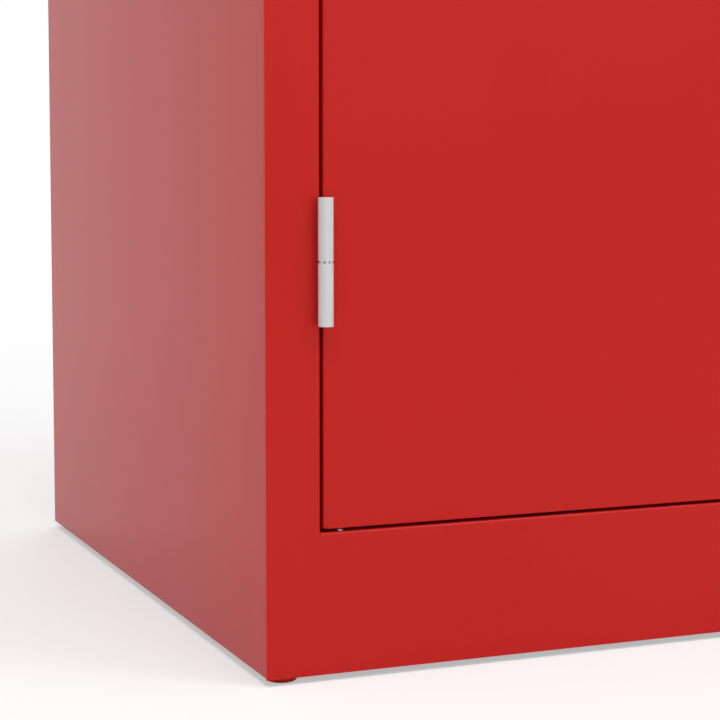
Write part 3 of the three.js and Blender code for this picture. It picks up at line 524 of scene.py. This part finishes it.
# %% [markdown]
# ## Hinge washers
# The door's weight rests on a thin ring between the barrels of each hinge. Its teeth, three in front and
# three behind, are as wide as the barrels, so the gaps between them show as a row of dark dots, and the
# ring is open at both sides. The solid ring is drawn smaller, to run free, and its place is read from the
# barrels above and below it.

# %% Hinge washers
# Degrees round the barrel: the middle tooth of each group, and the step to the next tooth.
TOOTH_GROUPS = (-101, 79)
TOOTH_PITCH = 40
TEETH = [math.radians(middle + step * TOOTH_PITCH) for middle in TOOTH_GROUPS for step in (-1, 0, 1)]
TOOTH_WIDTH = math.radians(26)
TOOTH_ROOT = 3.4 * MM
WASHER_BORE = 3.2 * MM
WASHER_PLAY = 0.02 * MM
WASHER_SIDES = 192


def notched_washer(which):
    name = f"hinge_washer_{which}"
    low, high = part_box(f"hinge_frame_leaf_{which}")
    radius = (high.x - low.x) / 2
    centre = Vector((low.x + radius, low.y + radius, high.z))
    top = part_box(f"hinge_door_leaf_{which}")[0].z - high.z - WASHER_PLAY

    def rim(angle):
        nearest = min(abs((angle - tooth + math.pi) % (2 * math.pi) - math.pi) for tooth in TEETH)
        return radius if nearest < TOOTH_WIDTH / 2 else TOOTH_ROOT

    rings = [(rim, WASHER_PLAY), (rim, top), (WASHER_BORE, top), (WASHER_BORE, WASHER_PLAY)]
    mesh = turned_mesh(name, rings, WASHER_SIDES, Matrix.Translation(centre), closed=True)
    add_piece(f"notched_washer_{which}", mesh, body_of[name], slot_of[name], name)


for which in ("lower", "upper"):
    notched_washer(which)

# %% [markdown]
# ## Sill rivets
# Two blind rivets join the frame's sill to the floor panel. A blind rivet has a head with an upright rim
# and a low dome, a hole in the middle, where its pulling pin broke off, and a tail that swelled as the
# pin was pulled. The rim matters most: it is what catches the light through the narrow door gap.

# %% Sill rivets
RIVET_HEAD = 0.8 * MM
RIVET_RIM = 0.45 * MM
RIVET_SHANK = 1.6 * MM
RIVET_TAIL = 3.0 * MM
NOSE_RADIUS = 1.12 * MM
NOSE_HEIGHT = 0.3 * MM
SWELL_RADIUS = 2.0 * MM
SWELL_HEIGHT = 1.5 * MM
HOLE_LIP_SHARE = 0.9
HOLE_FLOOR_SHARE = 0.85
LIP_RISE_SHARE = 0.8
RIVET_SIDES = 40
DOME_ARC = math.radians(68)
ARC_STEPS = 8


def upright_axis(low, high):
    """The middle of a box's lower face, where a piece that was turned on a lathe stands."""
    middle = (low + high) / 2
    return Matrix.Translation((middle.x, middle.y, low.z))


def even_angles(arc):
    return [arc * step / ARC_STEPS for step in range(ARC_STEPS + 1)]


def blind_rivet(side):
    name = f"sill_rivet_{side}"
    low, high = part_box(name)
    radius = (high.x - low.x) / 2
    seat = high.z - low.z - RIVET_HEAD
    rim = seat + RIVET_RIM
    dome = RIVET_HEAD - RIVET_RIM
    rings = [(NOSE_RADIUS, 0), (RIVET_SHANK, NOSE_HEIGHT), (SWELL_RADIUS, SWELL_HEIGHT)]
    rings += [(RIVET_SHANK, RIVET_TAIL), (RIVET_SHANK, seat), (radius, seat)]
    rings += [(radius * math.cos(angle), rim + dome * math.sin(angle)) for angle in even_angles(DOME_ARC)]
    hole = radius * math.cos(DOME_ARC)
    rings += [(hole * HOLE_LIP_SHARE, rim + dome * LIP_RISE_SHARE), (hole * HOLE_FLOOR_SHARE, rim)]
    mesh = turned_mesh(name, rings, RIVET_SIDES, upright_axis(low, high))
    add_piece(f"blind_rivet_{side}", mesh, body_of[name], slot_of[name], name)


for side in ("left", "right"):
    blind_rivet(side)

# %% [markdown]
# ## Levelling feet
# Each foot is a turned pad on a threaded stud. The pad's lower rim is rounded, and its underside is
# hollowed a little, so that it stands on a ring. A thread could be made with a Screw modifier, but it is
# only a radius that rises and falls once in each turn and each pitch, so the lathe can cut it.

# %% Foot pads
PAD_HEIGHT = 7.8 * MM
PAD_RIM = 1.6 * MM
PAD_CHAMFER = 0.5 * MM
PAD_HOLLOW = 0.4 * MM
HOLLOW_SHARE = 0.6
STANDING_SHARE = 0.64
PAD_SIDES = 64


def foot_pad(corner):
    name = f"levelling_foot_{corner}"
    low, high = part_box(name)
    radius = (high.x - low.x) / 2
    rings = [(radius * HOLLOW_SHARE, PAD_HOLLOW), (radius * STANDING_SHARE, 0)]
    for angle in even_angles(math.pi / 2):
        rings.append((radius - PAD_RIM + PAD_RIM * math.sin(angle), PAD_RIM - PAD_RIM * math.cos(angle)))
    rings += [(radius, PAD_HEIGHT - PAD_CHAMFER), (radius - PAD_CHAMFER, PAD_HEIGHT)]
    mesh = turned_mesh(f"foot_pad_{corner}", rings, PAD_SIDES, upright_axis(low, high))
    add_piece(f"foot_pad_{corner}", mesh, body_of[name], slot_of[name], name)


# %% Threaded studs
STUD_RADIUS = 4.0 * MM
STUD_ROOT = 0.5 * MM
THREAD_PITCH = 1.25 * MM
THREAD_DEPTH = 0.65 * MM
THREAD_STEPS = 6
STUD_SIDES = 24


def thread_at(height):
    """The stud's radius round the axis at one height."""
    def radius(angle):
        turn = (height / THREAD_PITCH - angle / (2 * math.pi)) % 1
        return STUD_RADIUS - THREAD_DEPTH * abs(2 * turn - 1)
    return radius


def foot_stud(corner):
    name = f"levelling_foot_{corner}"
    low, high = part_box(name)
    bottom = PAD_HEIGHT - STUD_ROOT
    top = high.z - low.z
    count = round((top - bottom) / THREAD_PITCH * THREAD_STEPS)
    heights = [bottom + (top - bottom) * step / count for step in range(count)]
    rings = [(thread_at(height), height) for height in heights]
    rings.append((STUD_RADIUS - THREAD_DEPTH, top))
    mesh = turned_mesh(f"foot_stud_{corner}", rings, STUD_SIDES, upright_axis(low, high))
    add_piece(f"foot_stud_{corner}", mesh, body_of[name], "zinc")


for corner in ("front_left", "front_right", "rear_left", "rear_right"):
    foot_pad(corner)
    foot_stud(corner)

# %% [markdown]
# ## Die-cast handle
# The real handle is cast, so its boss and its arm flow into each other without a corner. The solid is
# two plain forms. Sculpting is one way to blend them. Here a copy is remeshed into small even squares
# and smoothed, which rounds the outer edges and fills the inner corners at once. That blurs the bore of
# the lock plug too, so the bore is cut again afterwards, as it is machined after casting.

# %% Blanks and cutters
def loose_object(mesh):
    piece = bpy.data.objects.new(mesh.name, mesh)
    bpy.context.scene.collection.objects.link(piece)
    return piece


def finished_mesh(piece):
    """The mesh of a piece with its modifiers worked in. The piece itself is thrown away."""
    mesh = bpy.data.meshes.new_from_object(piece.evaluated_get(bpy.context.evaluated_depsgraph_get()))
    bpy.data.objects.remove(piece)
    mesh.materials.clear()
    return mesh


def blank_from(name):
    """A loose copy of a solid, to be worked on."""
    mesh = nodes[name].data.copy()
    mesh.name = f"{name}_blank"
    blank = loose_object(mesh)
    join_corners(blank)
    return blank


def cut_away(blank, cutter):
    cut = blank.modifiers.new("cut", "BOOLEAN")
    cut.operation = "DIFFERENCE"
    cut.solver = "EXACT"
    cut.object = cutter


# %% Die-cast handle
HANDLE_GRID = 0.7 * MM
HANDLE_SMOOTHING = 16
HANDLE_FLOW = 0.5
BORE_PLAY = 0.3 * MM
BORE_PAST = 5 * MM
BORE_SIDES = 96
FACING_BACK = Matrix.Rotation(-math.pi / 2, 4, "X")


def plug_bore():
    low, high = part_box("lock_plug")
    middle = (low + high) / 2
    radius = (high.x - low.x) / 2 + BORE_PLAY
    rings = [(radius, -BORE_PAST), (radius, high.y - low.y + BORE_PLAY)]
    place = Matrix.Translation((middle.x, low.y, middle.z)) @ FACING_BACK
    return loose_object(turned_mesh("plug_bore", rings, BORE_SIDES, place))


def cast_handle():
    blank = blank_from("turn_handle")
    squares = blank.modifiers.new("small_squares", "REMESH")
    squares.mode = "VOXEL"
    squares.voxel_size = HANDLE_GRID
    squares.use_smooth_shade = True
    flow = blank.modifiers.new("flowing_form", "SMOOTH")
    flow.factor = HANDLE_FLOW
    flow.iterations = HANDLE_SMOOTHING
    bore = plug_bore()
    cut_away(blank, bore)
    mesh = finished_mesh(blank)
    bpy.data.objects.remove(bore)
    mesh.set_sharp_from_angle(angle=SMOOTH_UNDER)
    add_piece("cast_handle", mesh, body_of["turn_handle"], slot_of["turn_handle"], "turn_handle")


cast_handle()

# %% [markdown]
# ## Spot welds on the back
# The back is welded to the flanges of the sides, the top and the floor. Each weld leaves a shallow round
# dent that the paint doesn't quite fill. A bump texture could fake them, but it wouldn't be in the mesh, so
# the dents are cut: lens-shaped cutters are joined into one mesh and taken away from the sheet.

# %% Spot weld places
WELD_RADIUS = 4 * MM
WELD_DEPTH = 0.6 * MM
WELD_PITCH = 110 * MM
SIDE_SEAM = 7.5 * MM
TOP_SEAM = 10 * MM
FLOOR_SEAM = 12.5 * MM
SEAM_END = 45 * MM


def evenly(first, last):
    count = round((last - first) / WELD_PITCH)
    return [first + (last - first) * step / count for step in range(count + 1)]


def weld_places():
    low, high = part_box("back_panel")
    top = high.z - TOP_SEAM
    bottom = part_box("floor_panel")[1].z - FLOOR_SEAM
    left = low.x + SIDE_SEAM
    right = high.x - SIDE_SEAM
    places = [(x, z) for x in (left, right) for z in evenly(bottom, top)]
    return places + [(x, z) for z in (bottom, top) for x in evenly(left + SEAM_END, right - SEAM_END)]


print(len(weld_places()), "spot welds")

# %% Spot welds
LENS_SHARES = (0.2, 0.4, 0.6, 0.8, 1)
LENS_FLARE = 1.1
LENS_SIDES = 28


def weld_cutters(back):
    lens = [(WELD_RADIUS * share, -WELD_DEPTH * (1 - share ** 2)) for share in LENS_SHARES]
    lens.append((WELD_RADIUS * LENS_FLARE, WELD_DEPTH))
    together = bmesh.new()
    for x, z in weld_places():
        mark = turned_mesh("weld_mark", lens, LENS_SIDES, Matrix.Translation((x, back, z)) @ FACING_BACK)
        together.from_mesh(mark)
        bpy.data.meshes.remove(mark)
    mesh = bpy.data.meshes.new("weld_cutters")
    together.to_mesh(mesh)
    together.free()
    return loose_object(mesh)


def welded_back():
    blank = blank_from("back_panel")
    cutters = weld_cutters(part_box("back_panel")[1].y)
    cut_away(blank, cutters)
    mesh = finished_mesh(blank)
    bpy.data.objects.remove(cutters)
    piece = add_piece("welded_back", mesh, body_of["back_panel"], slot_of["back_panel"], "back_panel")
    soften(piece, SHEET_EDGE)


welded_back()
